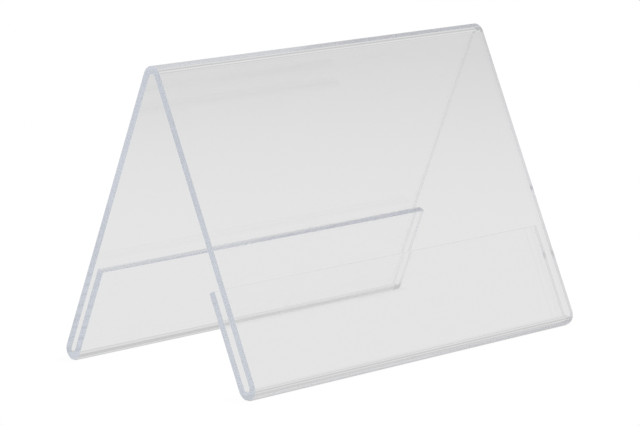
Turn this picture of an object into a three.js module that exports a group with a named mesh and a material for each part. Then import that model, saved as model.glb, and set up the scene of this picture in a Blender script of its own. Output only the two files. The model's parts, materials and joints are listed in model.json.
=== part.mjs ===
// Clear acrylic table tent that holds a card on each side: one sheet, heat-bent along three lines.
// Millimetres, +Z up, +X along the ridge. The front leg stands towards -Y.
// The origin is the middle of the footprint, at table level.
import * as THREE from "three";

// Sheet
const sheetWidth = 152;
const sheetThickness = 2.6;

// Bends. The legs lean out from the vertical, and the ridge springs a little either way.
const legLean = THREE.MathUtils.degToRad(23.8);
const ridgeInsideRadius = 1.5;
const ridgeGive = THREE.MathUtils.degToRad(3);

// Flat stretches, measured from bend line to bend line
const frontPanelFlat = 103;
const lipFlat = 32.4;

// Card pockets: the clear gap between a panel and its lip
const frontSlot = 2.5;
const rearSlot = 1.7;

// Width of the flat strip that each foot stands on
const footLand = 1.2;

// Clearance where two stretches of the sheet meet
const seam = 0.2;

// Divisions of each round of a bend
const bendDivisions = 5;

// Directions round a bend's axis, across the leg: 0 points inward and a quarter turn points up the leg
const outward = Math.PI;
const inward = 2 * Math.PI;
const ridgeTop = 0.5 * Math.PI + legLean;
const tableward = 1.5 * Math.PI + legLean;

// Sizes that follow from the ones above
const ridgeOutsideRadius = ridgeInsideRadius + sheetThickness;
const ridgeSeam = ridgeOutsideRadius * Math.tan(ridgeGive) + seam;
const rearPanelFlat = frontPanelFlat + (footDrop(frontSlot) - footDrop(rearSlot)) / Math.cos(legLean);
const ridgeHeight = frontPanelFlat * Math.cos(legLean) + footDrop(frontSlot);

function footInsideRadius(slot) {
  return slot / 2;
}

function footOutsideRadius(slot) {
  return footInsideRadius(slot) + sheetThickness;
}

// Distance of a foot bend's axis inward from the ridge's axis, across the leg
function footOffset(slot) {
  return footInsideRadius(slot) - ridgeInsideRadius;
}

// Height that a foot adds below its leg's flat panel
function footDrop(slot) {
  const landDepth = Math.sqrt(footOutsideRadius(slot) ** 2 - (footLand / 2) ** 2);
  return footOffset(slot) * Math.sin(legLean) + landDepth;
}

// Distance of a foot's outermost line from the ridge's axis, along the table
function footReach(panelFlat, slot) {
  return panelFlat * Math.sin(legLean) - footOffset(slot) * Math.cos(legLean) + footOutsideRadius(slot);
}

function clearAcrylic() {
  return new THREE.MeshStandardMaterial({
    color: new THREE.Color(0.86, 0.88, 0.9),
    roughness: 0.06,
    metalness: 0,
    transparent: true,
    opacity: 0.35,
  });
}

// One stretch of the sheet: its outline across the ridge, drawn out along the ridge
function stretch(name, outline) {
  const geometry = new THREE.ExtrudeGeometry(outline, {
    depth: sheetWidth,
    bevelEnabled: false,
    curveSegments: bendDivisions,
  });
  geometry.translate(0, 0, -sheetWidth / 2);
  const alongRidge = new THREE.Vector3(1, 0, 0);
  const acrossRidge = new THREE.Vector3(0, 1, 0);
  const up = new THREE.Vector3(0, 0, 1);
  geometry.applyMatrix4(new THREE.Matrix4().makeBasis(acrossRidge, up, alongRidge));
  const mesh = new THREE.Mesh(geometry, clearAcrylic());
  mesh.name = name;
  return mesh;
}

// A flat stretch, from its outer face inward by one thickness, between two heights
function flatOutline(outerFace, bottom, top) {
  const outline = new THREE.Shape();
  outline.moveTo(outerFace, bottom);
  outline.lineTo(outerFace + sheetThickness, bottom);
  outline.lineTo(outerFace + sheetThickness, top);
  outline.lineTo(outerFace, top);
  return outline;
}

// The angle that a clearance takes up on a round
function setback(clearance, radius) {
  return Math.asin(clearance / radius);
}

// Half of the ridge bend, from the top of the ridge to the panel's bend line
function ridgeOutline() {
  const outside = ridgeOutsideRadius;
  const inside = ridgeInsideRadius;
  const outline = new THREE.Shape();
  outline.absarc(0, 0, outside, ridgeTop + setback(ridgeSeam / 2, outside), outward, false);
  outline.absarc(0, 0, inside, outward, ridgeTop + setback(ridgeSeam / 2, inside), true);
  return outline;
}

// The outer part of a foot, from the panel's bend line round to the strip on the table
function footOuterOutline(axisAcross, axisUp, slot) {
  const outside = footOutsideRadius(slot);
  const inside = footInsideRadius(slot);
  const landStart = tableward - setback(footLand / 2, outside);
  const outline = new THREE.Shape();
  outline.absarc(axisAcross, axisUp, outside, outward, landStart - setback(seam, outside), false);
  outline.absarc(axisAcross, axisUp, inside, landStart - setback(seam, inside), outward, true);
  return outline;
}

// The inner part of a foot: the flat strip on the table, then round to the lip's bend line
function footInnerOutline(axisAcross, axisUp, slot) {
  const outside = footOutsideRadius(slot);
  const inside = footInsideRadius(slot);
  const landStart = tableward - setback(footLand / 2, outside);
  const landEnd = tableward + setback(footLand / 2, outside);
  const outline = new THREE.Shape();
  outline.absarc(axisAcross, axisUp, inside, inward, landStart, true);
  outline.lineTo(axisAcross + outside * Math.cos(landStart), axisUp + outside * Math.sin(landStart));
  outline.absarc(axisAcross, axisUp, outside, landEnd, inward, false);
  return outline;
}

// A leg hangs from the ridge's axis, with its outer face towards -Y and its pocket lip inside
function leg(side, panelFlat, slot) {
  const footAcross = footOffset(slot);
  const footUp = -panelFlat;
  const lipOuterFace = footAcross + footInsideRadius(slot);
  const parts = new THREE.Group();
  parts.add(stretch(`${side}_ridge_bend`, ridgeOutline()));
  parts.add(stretch(`${side}_panel`, flatOutline(-ridgeOutsideRadius, footUp + seam, -seam)));
  parts.add(stretch(`${side}_foot_outer_bend`, footOuterOutline(footAcross, footUp, slot)));
  parts.add(stretch(`${side}_foot_inner_bend`, footInnerOutline(footAcross, footUp, slot)));
  parts.add(stretch(`${side}_pocket_lip`, flatOutline(lipOuterFace, footUp + seam, footUp + lipFlat)));
  parts.rotation.x = -legLean;
  return parts;
}

const frontLeg = leg("front", frontPanelFlat, frontSlot);

const rearLeg = new THREE.Group();
rearLeg.add(leg("rear", rearPanelFlat, rearSlot));
rearLeg.rotation.z = Math.PI;

const frontReach = footReach(frontPanelFlat, frontSlot);
const rearReach = footReach(rearPanelFlat, rearSlot);
const bentSheet = new THREE.Group();
bentSheet.add(frontLeg, rearLeg);
bentSheet.position.set(0, (frontReach - rearReach) / 2, ridgeHeight);

const signHolder = new THREE.Group();
signHolder.add(bentSheet);

export default signHolder;
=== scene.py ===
"""Clear acrylic table tent: one bent sheet with its finish, a plain studio and the camera."""

import json
import math

import bmesh
import bpy
from mathutils import Matrix, Vector


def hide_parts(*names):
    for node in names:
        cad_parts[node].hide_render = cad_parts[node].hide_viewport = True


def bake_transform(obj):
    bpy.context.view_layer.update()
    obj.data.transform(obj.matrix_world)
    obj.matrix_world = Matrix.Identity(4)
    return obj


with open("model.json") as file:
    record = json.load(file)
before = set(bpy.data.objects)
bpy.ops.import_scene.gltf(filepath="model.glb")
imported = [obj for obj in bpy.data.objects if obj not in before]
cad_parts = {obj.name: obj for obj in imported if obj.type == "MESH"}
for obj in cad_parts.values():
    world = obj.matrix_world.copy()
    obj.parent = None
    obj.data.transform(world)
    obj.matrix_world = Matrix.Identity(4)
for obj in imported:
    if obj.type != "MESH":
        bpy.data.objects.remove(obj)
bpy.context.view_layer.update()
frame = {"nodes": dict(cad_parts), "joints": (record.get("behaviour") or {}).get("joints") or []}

MM = 0.001

# Sheet and bends
SHEET_WIDTH = 152 * MM
SHEET_THICKNESS = 2.6 * MM
LEG_LEAN = math.radians(23.8)
RIDGE_INSIDE_RADIUS = 1.5 * MM
FRONT_PANEL_FLAT = 103 * MM
REAR_PANEL_FLAT = 103.62 * MM
LIP_FLAT = 32.4 * MM
FRONT_SLOT = 2.5 * MM
REAR_SLOT = 1.7 * MM

# Roundness of the bends, flat margin kept beside each bend line, and the eased corners of the cuts
FOOT_STEPS = 32
RIDGE_STEPS = 24
BEND_LINE_MARGIN = 0.4 * MM
ARRIS = 0.08 * MM
ARRIS_STEPS = 2
CUT_CORNER = math.radians(60)
END_FACING = 0.5
WELD = 0.001 * MM
SHARP_CORNER = math.radians(12)

ALONG_RIDGE = Vector((1, 0, 0))
SKYWARD = Vector((0, 0, 1))
RIDGE_AXIS = Vector(next(j for j in frame["joints"] if j["name"] == "ridge_flex")["pos_m"])
RIDGE_HALF_TURN = math.pi / 2 - LEG_LEAN
RIDGE_HALF_ARC = RIDGE_HALF_TURN * (RIDGE_INSIDE_RADIUS + SHEET_THICKNESS / 2)

# Faces of the sheet that take each finish, and the map that lays the sheet flat again
MOULDED_FACE = 0
LIP_TOP = 1
SAWN_END = 2
FLAT_MAP = "flat_sheet"


class Leg:
    """One leg: its directions, the axis its foot is bent about, and its lengths along the flat sheet."""

    def __init__(self, side, panel_flat, slot):
        self.side = side
        self.slot = slot
        self.outward = Vector((0, side * math.cos(LEG_LEAN), math.sin(LEG_LEAN)))
        self.upward = Vector((0, -side * math.sin(LEG_LEAN), math.cos(LEG_LEAN)))
        axis_inset = slot / 2 - RIDGE_INSIDE_RADIUS
        self.foot_axis = RIDGE_AXIS - self.upward * panel_flat - self.outward * axis_inset
        self.foot_rim = slot / 2 + SHEET_THICKNESS
        self.foot_start = RIDGE_HALF_ARC + panel_flat
        self.foot_arc = math.pi * (slot + SHEET_THICKNESS) / 2


FRONT_LEG = Leg(-1, FRONT_PANEL_FLAT, FRONT_SLOT)
REAR_LEG = Leg(1, REAR_PANEL_FLAT, REAR_SLOT)


def end_loop(parts):
    """The edges among the new parts that lie wholly on the sheet's moving end."""
    verts = {part for part in parts if isinstance(part, bmesh.types.BMVert)}
    edges = [part for part in parts if isinstance(part, bmesh.types.BMEdge)]
    return [edge for edge in edges if verts.issuperset(edge.verts)]


def pull(bm, end, travel):
    """Draws the sheet's end along a straight line, with a margin beside each bend line."""
    margin = travel.normalized() * BEND_LINE_MARGIN
    for step in (margin, travel - 2 * margin, margin):
        parts = bmesh.ops.extrude_edge_only(bm, edges=end)["geom"]
        verts = [part for part in parts if isinstance(part, bmesh.types.BMVert)]
        bmesh.ops.translate(bm, verts=verts, vec=step)
        end = end_loop(parts)
    return end


def bend(bm, end, axis_point, angle, steps):
    """Turns the sheet's end about the axis of a bend."""
    corners = list({vert for edge in end for vert in edge.verts})
    parts = bmesh.ops.spin(
        bm, geom=corners + end, cent=axis_point, axis=ALONG_RIDGE, angle=angle, steps=steps
    )["geom_last"]
    return end_loop(parts)


def lip_outline(bm, leg):
    """The sheet's own cross-section at the top of a lip."""
    top = leg.foot_axis + leg.upward * LIP_FLAT
    corners = []
    for depth, x in ((0, -1), (0, 1), (1, 1), (1, -1)):
        inset = leg.slot / 2 + depth * SHEET_THICKNESS
        corners.append(bm.verts.new(top - leg.outward * inset + ALONG_RIDGE * x * SHEET_WIDTH / 2))
    return [bm.edges.new((corners[i - 1], corners[i])) for i in range(len(corners))]


def bend_sheet():
    """Follows the sheet from the front lip round its foot, over the ridge and back to the rear lip."""
    bm = bmesh.new()
    end = lip_outline(bm, FRONT_LEG)
    end = pull(bm, end, -FRONT_LEG.upward * LIP_FLAT)
    end = bend(bm, end, FRONT_LEG.foot_axis, -math.pi, FOOT_STEPS)
    end = pull(bm, end, FRONT_LEG.upward * FRONT_PANEL_FLAT)
    end = bend(bm, end, RIDGE_AXIS, -2 * RIDGE_HALF_TURN, RIDGE_STEPS)
    end = pull(bm, end, -REAR_LEG.upward * REAR_PANEL_FLAT)
    end = bend(bm, end, REAR_LEG.foot_axis, -math.pi, FOOT_STEPS)
    pull(bm, end, REAR_LEG.upward * LIP_FLAT)
    bmesh.ops.holes_fill(bm, edges=bm.edges, sides=4)
    bmesh.ops.remove_doubles(bm, verts=bm.verts, dist=WELD)
    for vert in bm.verts:
        vert.co.z = max(vert.co.z, 0)
    bmesh.ops.recalc_face_normals(bm, faces=bm.faces)
    return bm


def is_end(face):
    return abs(face.normal.x) > END_FACING


def is_lip_top(face):
    return len(face.verts) == 4 and all(edge.calc_face_angle() > CUT_CORNER for edge in face.edges)


def finish_cuts(bm):
    """Marks the cut faces, eases their corners and keeps each bend smooth between true flats."""
    for face in bm.faces:
        face.material_index = MOULDED_FACE
        if is_lip_top(face):
            face.material_index = LIP_TOP
        if is_end(face):
            face.material_index = SAWN_END
    corners = [edge for edge in bm.edges if edge.calc_face_angle() > CUT_CORNER]
    arris_faces = bmesh.ops.bevel(
        bm,
        geom=corners,
        offset=ARRIS,
        offset_type="OFFSET",
        segments=ARRIS_STEPS,
        profile=0.5,
        affect="EDGES",
        clamp_overlap=True,
        material=-1,
    )["faces"]
    for face in arris_faces:
        face.material_index = MOULDED_FACE
    for face in bm.faces:
        face.smooth = True
    for edge in bm.edges:
        edge.smooth = edge.calc_face_angle() < SHARP_CORNER


def unbend(point):
    """Run of a point from the ridge line along the flat sheet, and its depth from the outer face."""
    from_ridge = point - RIDGE_AXIS
    turn = math.atan2(from_ridge.y, from_ridge.z)
    if abs(turn) < RIDGE_HALF_TURN:
        depth = RIDGE_INSIDE_RADIUS + SHEET_THICKNESS - from_ridge.yz.length
        return RIDGE_HALF_ARC * turn / RIDGE_HALF_TURN, depth
    leg = FRONT_LEG if from_ridge.y < 0 else REAR_LEG
    from_foot = point - leg.foot_axis
    rise = from_foot.dot(leg.upward)
    out = from_foot.dot(leg.outward)
    if rise < 0:
        run = leg.foot_start + leg.foot_arc * math.atan2(-rise, out) / math.pi
        depth = leg.foot_rim - math.hypot(rise, out)
    else:
        run = leg.foot_start - rise if out > 0 else leg.foot_start + leg.foot_arc + rise
        depth = leg.foot_rim - abs(out)
    return leg.side * run, depth


def lay_flat(bm):
    """Maps each face in metres as it lies on the flat sheet, so that its finish follows the bends."""
    layer = bm.loops.layers.uv.new(FLAT_MAP)
    for face in bm.faces:
        for loop in face.loops:
            run, depth = unbend(loop.vert.co)
            if is_end(face):
                place = (run, depth)
            elif face.material_index == LIP_TOP:
                place = (loop.vert.co.x, depth)
            else:
                place = (loop.vert.co.x, run)
            loop[layer].uv = place


def make_piece(name, bm, materials):
    mesh = bpy.data.meshes.new(name)
    bm.to_mesh(mesh)
    bm.free()
    for material in materials:
        mesh.materials.append(material)
    piece = bpy.data.objects.new(name, mesh)
    bpy.context.scene.collection.objects.link(piece)
    return piece


# Steps shared by the finishes and the studio


def add_math(tree, operation, first, second):
    node = tree.nodes.new("ShaderNodeMath")
    node.operation = operation
    for socket, value in zip(node.inputs, (first, second)):
        if isinstance(value, float):
            socket.default_value = value
        else:
            tree.links.new(value, socket)
    return node.outputs["Value"]


def add_range(tree, value, low, high, low_result, high_result):
    node = tree.nodes.new("ShaderNodeMapRange")
    node.interpolation_type = "SMOOTHSTEP"
    node.inputs["From Min"].default_value = low
    node.inputs["From Max"].default_value = high
    node.inputs["To Min"].default_value = low_result
    node.inputs["To Max"].default_value = high_result
    tree.links.new(value, node.inputs["Value"])
    return node.outputs["Result"]


def add_gap(tree, value, centre):
    """How far a value lies from a centre."""
    return add_math(tree, "ABSOLUTE", add_math(tree, "SUBTRACT", value, centre), 0.0)


def add_facing(tree, way, centre):
    """How nearly a way points to a centre, from -1 to 1."""
    node = tree.nodes.new("ShaderNodeVectorMath")
    node.operation = "DOT_PRODUCT"
    node.inputs[1].default_value = centre
    tree.links.new(way, node.inputs[0])
    return node.outputs["Value"]


def add_noise(tree, place, size, turn=0, detail=0):
    """Noise whose marks are as long and as wide as the size, turned on the sheet."""
    mapping = tree.nodes.new("ShaderNodeMapping")
    mapping.vector_type = "TEXTURE"
    mapping.inputs["Rotation"].default_value = (0, 0, turn)
    mapping.inputs["Scale"].default_value = (*size, 1)
    tree.links.new(place, mapping.inputs["Vector"])
    noise = tree.nodes.new("ShaderNodeTexNoise")
    noise.noise_dimensions = "2D"
    noise.inputs["Scale"].default_value = 1
    noise.inputs["Detail"].default_value = detail
    tree.links.new(mapping.outputs["Vector"], noise.inputs["Vector"])
    return noise.outputs["Fac"]


def add_bump(tree, height, distance, below=None):
    node = tree.nodes.new("ShaderNodeBump")
    node.inputs["Distance"].default_value = distance
    tree.links.new(height, node.inputs["Height"])
    if below is not None:
        tree.links.new(below, node.inputs["Normal"])
    return node.outputs["Normal"]


# Finishes

ACRYLIC_IOR = 1.49
CLEAR = (1, 1, 1)
BODY_TINT = (0.72, 0.77, 0.97)
BODY_DENSITY = 1.0
LIP_TOP_TINT = (0.945, 0.968, 1)
END_TINT = (0.936, 0.972, 1)

# Handling haze, hairlines from wiping, the sheet's slow waves and the ripple that heat leaves at a bend
HAZE_PATCH = (65 * MM, 48 * MM)
HAZE_TURN = math.radians(17)
HAZE_DETAIL = 3
HAZE_RANGE = (0.45, 0.75)
HAZE_ROUGHNESS = 0.03
HAIRLINE = (30 * MM, 0.22 * MM)
HAIRLINE_TURNS = (math.radians(14), math.radians(-38))
HAIRLINE_RANGE = (0.74, 0.8)
HAIRLINE_ROUGHNESS = 0.1
SHEET_WAVE = (75 * MM, 42 * MM)
SHEET_WAVE_HEIGHT = 0.012 * MM
HEAT_RIPPLE = (24 * MM, 9 * MM)
HEAT_RIPPLE_DETAIL = 1
HEAT_RIPPLE_HEIGHT = 0.02 * MM
HEATED_FULL = 5 * MM
HEATED_NONE = 14 * MM

# Polishing lines across a cut edge, patches where the polish is duller, and the painted shade coat on
# the sawn ends
POLISH_LINE = (0.18 * MM, 5 * MM)
POLISH_LINE_DETAIL = 1
POLISH_LINE_HEIGHT = 0.001 * MM
POLISH_PATCH = (6 * MM, 3 * MM)
POLISH_PATCH_DETAIL = 2
POLISH_RANGE = (0.3, 0.7)
POLISH_BRIGHT = 0.02
POLISH_DULL = 0.06
SHADE_COAT_IOR = 1.0
SHADE_COAT_TINT = (0.952, 0.953, 0.962)


def acrylic(name, tint):
    """Clear acrylic with its faint body colour, and the places on the flat sheet for its finish."""
    material = bpy.data.materials.new(name)
    material.use_nodes = True
    tree = material.node_tree
    shader = tree.nodes["Principled BSDF"]
    shader.inputs["Base Color"].default_value = (*tint, 1)
    shader.inputs["IOR"].default_value = ACRYLIC_IOR
    shader.inputs["Transmission Weight"].default_value = 1
    body = tree.nodes.new("ShaderNodeVolumeAbsorption")
    body.inputs["Color"].default_value = (*BODY_TINT, 1)
    body.inputs["Density"].default_value = BODY_DENSITY
    tree.links.new(body.outputs["Volume"], tree.nodes["Material Output"].inputs["Volume"])
    flat_map = tree.nodes.new("ShaderNodeUVMap")
    flat_map.uv_map = FLAT_MAP
    return material, tree, shader, flat_map.outputs["UV"]


def bend_heat(tree, place):
    """1 at each bend line, and 0 where the sheet stayed cold."""
    split = tree.nodes.new("ShaderNodeSeparateXYZ")
    tree.links.new(place, split.inputs["Vector"])
    run = split.outputs["Y"]
    nearest = add_gap(tree, run, 0.0)
    for leg in (FRONT_LEG, REAR_LEG):
        foot_line = leg.side * (leg.foot_start + leg.foot_arc / 2)
        nearest = add_math(tree, "MINIMUM", nearest, add_gap(tree, run, foot_line))
    return add_range(tree, nearest, HEATED_FULL, HEATED_NONE, 1, 0)


def clear_acrylic():
    """The sheet's moulded faces."""
    material, tree, shader, place = acrylic("clear_acrylic", CLEAR)
    haze = add_noise(tree, place, HAZE_PATCH, HAZE_TURN, HAZE_DETAIL)
    rough = add_range(tree, haze, *HAZE_RANGE, 0, HAZE_ROUGHNESS)
    for turn in HAIRLINE_TURNS:
        hairlines = add_noise(tree, place, HAIRLINE, turn)
        line_rough = add_range(tree, hairlines, *HAIRLINE_RANGE, 0, HAIRLINE_ROUGHNESS)
        rough = add_math(tree, "MAXIMUM", rough, line_rough)
    tree.links.new(rough, shader.inputs["Roughness"])
    waves = add_bump(tree, add_noise(tree, place, SHEET_WAVE), SHEET_WAVE_HEIGHT)
    ripple = add_noise(tree, place, HEAT_RIPPLE, detail=HEAT_RIPPLE_DETAIL)
    heated = add_math(tree, "MULTIPLY", ripple, bend_heat(tree, place))
    tree.links.new(add_bump(tree, heated, HEAT_RIPPLE_HEIGHT, waves), shader.inputs["Normal"])
    return material


def polished_cut(name, tint):
    """A cut face of the sheet, with the lines and the duller patches that polishing leaves."""
    material, tree, shader, place = acrylic(name, tint)
    patches = add_noise(tree, place, POLISH_PATCH, detail=POLISH_PATCH_DETAIL)
    rough = add_range(tree, patches, *POLISH_RANGE, POLISH_BRIGHT, POLISH_DULL)
    tree.links.new(rough, shader.inputs["Roughness"])
    lines = add_noise(tree, place, POLISH_LINE, detail=POLISH_LINE_DETAIL)
    tree.links.new(add_bump(tree, lines, POLISH_LINE_HEIGHT), shader.inputs["Normal"])
    return material, shader


def lip_top():
    """The cut along the top of each pocket lip."""
    return polished_cut("lip_top", LIP_TOP_TINT)[0]


def sawn_end():
    """The sawn ends, under a thin grey coat of painted shade that darkens them."""
    material, shader = polished_cut("sawn_end", END_TINT)
    # Painted shade: a grey coat tint, which reflects nothing, darkens every sawn end
    shader.inputs["Coat Weight"].default_value = 1
    shader.inputs["Coat IOR"].default_value = SHADE_COAT_IOR
    shader.inputs["Coat Tint"].default_value = (*SHADE_COAT_TINT, 1)
    return material


# The bent sheet

sheet_bm = bend_sheet()
finish_cuts(sheet_bm)
lay_flat(sheet_bm)
sheet = make_piece("bent_sheet", sheet_bm, [clear_acrylic(), lip_top(), sawn_end()])
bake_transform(sheet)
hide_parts(*frame["nodes"])

# Studio: the camera sees a white table and backdrop, with a faint painted shade round both feet
# and a thin dark line of painted shade where they meet the table. The acrylic itself is lit by soft
# grey from one end, and for it the glowing table is a painted pool of light, darker in a painted
# shadow along a narrow strip by each foot

FLOOR_HALF = 6.0
FLOOR_CLEARANCE = 0.02 * MM
WHITE = (1, 1, 1, 1)
SEEN_LEVEL = 1.0
LIT_WAY = (0.93, -0.2, 0.3)
ROOM_DIM = 0.5
ROOM_LIT = 0.77
BACKDROP_WAY = (0.702, 0.712, 0)
BACKDROP_SPREAD = (0.5, 0.8)
BACKDROP_CENTRE = 0.42
BACKDROP_FULL = 0.14
BACKDROP_NONE = 0.24
BACKDROP_DIM = 0.76
# Painted pool of light: the table's glow, as the acrylic sees it, fades from the centre outwards
POOL_NEAR_TONE = 0.785
POOL_FAR_TONE = 0.65
POOL_NEAR_REACH = 0.15
POOL_FAR_REACH = 1.0
# Painted shade beside the feet, a painted dark contact line, and painted shadow strips along each foot
CONTACT_TONE = 0.95
CONTACT_SEEN = 0.985
CONTACT_SHIFT = 1.5 * MM
CONTACT_NEAR = 2 * MM
CONTACT_FAR = 6 * MM
CONTACT_LINE_TONE = 0.55
CONTACT_LINE_REACH = 0.35 * MM
CONTACT_LINE_RAYS = 16
FRONT_SHADOW_TONE = 0.78
FRONT_SHADOW_SHIFT = -0.3 * MM
FRONT_SHADOW_NEAR = 0.9 * MM
FRONT_SHADOW_FAR = 2 * MM
REAR_SHADOW_TONE = 0.8
REAR_SHADOW_SHIFT = 4.6 * MM
REAR_SHADOW_NEAR = 1.5 * MM
REAR_SHADOW_FAR = 3 * MM


def foot_gap(tree, place, leg, shift):
    """How far a spot of the table lies from a line along a foot, across it or past its ends."""
    across = add_gap(tree, place["Y"], leg.foot_axis.y + shift)
    beyond = add_math(tree, "SUBTRACT", add_gap(tree, place["X"], 0.0), SHEET_WIDTH / 2)
    return add_math(tree, "MAXIMUM", across, beyond)


def contact_shade(tree, place, tone):
    """Painted contact shade: dims the table in the few millimetres beside each foot."""
    gaps = [foot_gap(tree, place, leg, CONTACT_SHIFT) for leg in (FRONT_LEG, REAR_LEG)]
    return add_range(tree, add_math(tree, "MINIMUM", *gaps), CONTACT_NEAR, CONTACT_FAR, tone, 1)


def contact_line(tree):
    """Dims the thin line where a foot meets the table, as far as the foot hides the light from it."""
    node = tree.nodes.new("ShaderNodeAmbientOcclusion")
    node.samples = CONTACT_LINE_RAYS
    node.inputs["Distance"].default_value = CONTACT_LINE_REACH
    return add_range(tree, node.outputs["AO"], 0, 1, CONTACT_LINE_TONE, 1)


def foot_shadows(tree, place):
    """Painted shadow: dims a narrow strip of the table along each foot."""
    front_gap = foot_gap(tree, place, FRONT_LEG, FRONT_SHADOW_SHIFT)
    rear_gap = foot_gap(tree, place, REAR_LEG, REAR_SHADOW_SHIFT)
    front = add_range(tree, front_gap, FRONT_SHADOW_NEAR, FRONT_SHADOW_FAR, FRONT_SHADOW_TONE, 1)
    rear = add_range(tree, rear_gap, REAR_SHADOW_NEAR, REAR_SHADOW_FAR, REAR_SHADOW_TONE, 1)
    return add_math(tree, "MULTIPLY", front, rear)


def table_finish():
    """Glowing table: white to the camera, a soft grey painted pool of light to the acrylic."""
    material = bpy.data.materials.new("studio_floor")
    material.use_nodes = True
    tree = material.node_tree
    tree.nodes.clear()
    spot = tree.nodes.new("ShaderNodeTexCoord").outputs["Object"]
    split = tree.nodes.new("ShaderNodeSeparateXYZ")
    tree.links.new(spot, split.inputs["Vector"])
    place = split.outputs
    reach = tree.nodes.new("ShaderNodeVectorMath")
    reach.operation = "LENGTH"
    tree.links.new(spot, reach.inputs[0])
    # Painted pool of light: the glow that the acrylic sees fades away from the centre of the table
    painted_light_pool = add_range(tree, reach.outputs["Value"], POOL_NEAR_REACH, POOL_FAR_REACH, POOL_NEAR_TONE, POOL_FAR_TONE)
    shaded = add_math(tree, "MULTIPLY", painted_light_pool, contact_shade(tree, place, CONTACT_TONE))
    shaded = add_math(tree, "MULTIPLY", shaded, foot_shadows(tree, place))
    glow = tree.nodes.new("ShaderNodeEmission")
    tree.links.new(shaded, glow.inputs["Strength"])
    white = tree.nodes.new("ShaderNodeEmission")
    seen = add_math(tree, "MULTIPLY", contact_shade(tree, place, CONTACT_SEEN), contact_line(tree))
    tree.links.new(seen, white.inputs["Strength"])
    path = tree.nodes.new("ShaderNodeLightPath")
    choice = tree.nodes.new("ShaderNodeMixShader")
    tree.links.new(path.outputs["Is Camera Ray"], choice.inputs["Fac"])
    tree.links.new(glow.outputs["Emission"], choice.inputs[1])
    tree.links.new(white.outputs["Emission"], choice.inputs[2])
    out = tree.nodes.new("ShaderNodeOutputMaterial")
    tree.links.new(choice.outputs["Shader"], out.inputs["Surface"])
    material.cycles.emission_sampling = "NONE"
    return material


def make_floor():
    bm = bmesh.new()
    bmesh.ops.create_grid(bm, x_segments=1, y_segments=1, size=FLOOR_HALF)
    bmesh.ops.translate(bm, verts=bm.verts, vec=(0, 0, -FLOOR_CLEARANCE))
    floor = make_piece("studio_floor", bm, [table_finish()])


def make_world():
    world = bpy.data.worlds.new("studio")
    world.use_nodes = True
    tree = world.node_tree
    way = tree.nodes.new("ShaderNodeTexCoord").outputs["Generated"]
    room = add_range(tree, add_facing(tree, way, LIT_WAY), -1, 1, ROOM_DIM, ROOM_LIT)
    rise = add_gap(tree, add_facing(tree, way, SKYWARD), BACKDROP_CENTRE)
    low_band = add_range(tree, rise, BACKDROP_FULL, BACKDROP_NONE, 1, 0)
    behind = add_range(tree, add_facing(tree, way, BACKDROP_WAY), *BACKDROP_SPREAD, 0, 1)
    backdrop = add_range(tree, add_math(tree, "MULTIPLY", low_band, behind), 0, 1, 1, BACKDROP_DIM)
    room = add_math(tree, "MULTIPLY", room, backdrop)
    path = tree.nodes.new("ShaderNodeLightPath")
    level = tree.nodes.new("ShaderNodeMix")
    level.inputs["B"].default_value = SEEN_LEVEL
    tree.links.new(path.outputs["Is Camera Ray"], level.inputs["Factor"])
    tree.links.new(room, level.inputs["A"])
    tree.links.new(level.outputs["Result"], tree.nodes["Background"].inputs["Strength"])
    tree.nodes["Background"].inputs["Color"].default_value = WHITE
    world.cycles.sampling_method = "NONE"
    bpy.context.scene.world = world


make_floor()
make_world()

# Camera: the photograph's own view

FRAME_WIDTH = 640
SENSOR_WIDTH = 36
FOCAL_PIXELS = 3028.9
VIEW_AZIMUTH = math.radians(-44.595)
VIEW_ELEVATION = math.radians(10.216)
VIEW_ROLL = math.radians(-0.617)
VIEW_DISTANCE = 1013.876 * MM
VIEW_REACH = 20
AIM_ACROSS = -0.664 * MM
AIM_UP = -52.632 * MM


def make_camera():
    level = Vector((math.cos(VIEW_AZIMUTH), math.sin(VIEW_AZIMUTH), 0))
    toward = Vector((math.sin(VIEW_AZIMUTH), -math.cos(VIEW_AZIMUTH), 0))
    back = toward * math.cos(VIEW_ELEVATION) + SKYWARD * math.sin(VIEW_ELEVATION)
    upright = back.cross(level)
    right = level * math.cos(VIEW_ROLL) + upright * math.sin(VIEW_ROLL)
    up = upright * math.cos(VIEW_ROLL) - level * math.sin(VIEW_ROLL)
    eye = RIDGE_AXIS + right * AIM_ACROSS + up * AIM_UP + back * VIEW_DISTANCE
    lens = bpy.data.cameras.new("studio_camera")
    lens.sensor_width = SENSOR_WIDTH
    lens.lens = FOCAL_PIXELS * SENSOR_WIDTH / FRAME_WIDTH
    lens.clip_end = VIEW_REACH
    camera = bpy.data.objects.new("studio_camera", lens)
    camera.matrix_world = Matrix((right, up, back)).transposed().to_4x4()
    camera.location = eye
    bpy.context.scene.collection.objects.link(camera)
    bpy.context.scene.camera = camera


make_camera()

# The long run of the light inside the sheet, from one cut end to the other
LIGHT_BOUNCES = 512

scene = bpy.context.scene
scene.view_settings.view_transform = "Standard"
scene.cycles.max_bounces = LIGHT_BOUNCES
scene.cycles.transmission_bounces = LIGHT_BOUNCES
scene.cycles.glossy_bounces = LIGHT_BOUNCES
